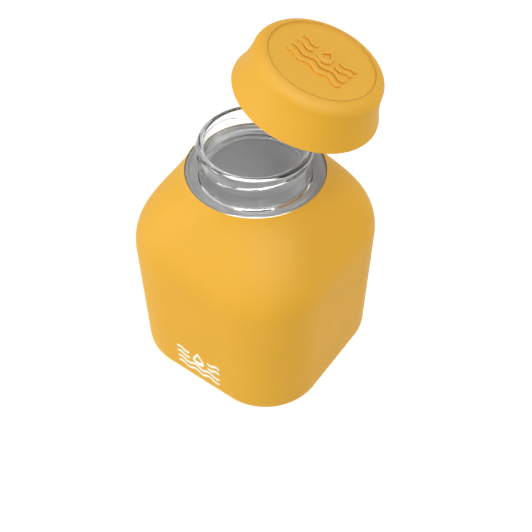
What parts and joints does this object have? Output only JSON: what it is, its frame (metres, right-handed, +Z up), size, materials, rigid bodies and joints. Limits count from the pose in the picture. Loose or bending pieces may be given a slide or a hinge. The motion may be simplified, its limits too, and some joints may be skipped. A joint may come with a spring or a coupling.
{
  "type": "kids water bottle",
  "caption": "Small square water bottle with a matte soft outer jacket, clear threaded neck and a flared screw cap, shown with the cap lifted off.",
  "frame": {"origin": "middle of the underside, on the bottle's axis", "axes": "+Z up the bottle's axis; +X and -Y are the two flat sides that the usual view shows; the lifted cap leans towards +X and +Y"},
  "size_m": [0.076, 0.076, 0.1325],
  "materials": {
    "jacket": "matte soft-touch, warm yellow",
    "clear_plastic": "clear glossy rigid plastic",
    "collar": "smoky clear plastic",
    "seal": "translucent silicone",
    "cap": "matte soft-touch, warm yellow",
    "cap_top": "matte soft-touch, warm yellow",
    "insert": "off-white moulded plastic"
  },
  "bodies": {
    "bottle": {"jacket": "jacket", "vessel": "clear_plastic"},
    "collar": {"collar_ring": "collar"},
    "seal": {"seal_ring": "seal"},
    "cap": {"cap_shell": "cap", "cap_disc": "cap_top", "thread_insert": "insert"}
  },
  "joints": [
    {"name": "cap_turn", "type": "hinge", "parent": "bottle", "child": "collar", "pos_m": [0, 0, 0.0834], "axis": [0, 0, -1], "range_deg": [0, 264]},
    {"name": "cap_swing", "type": "hinge", "parent": "collar", "child": "seal", "pos_m": [0.07135, 0.04133, 0.0492], "axis": [0.4223, -0.8956, 0.1399], "range_deg": [0, 17.68]},
    {"name": "cap_lower", "type": "slide", "parent": "seal", "child": "cap", "axis": [-0.2747, -0.1223, -0.9537], "range_m": [0, 0.0066]}
  ],
  "couplings": [
    {"joint": "cap_lower", "follows": "cap_turn", "m_per_rad": 0.0014324}
  ]
}
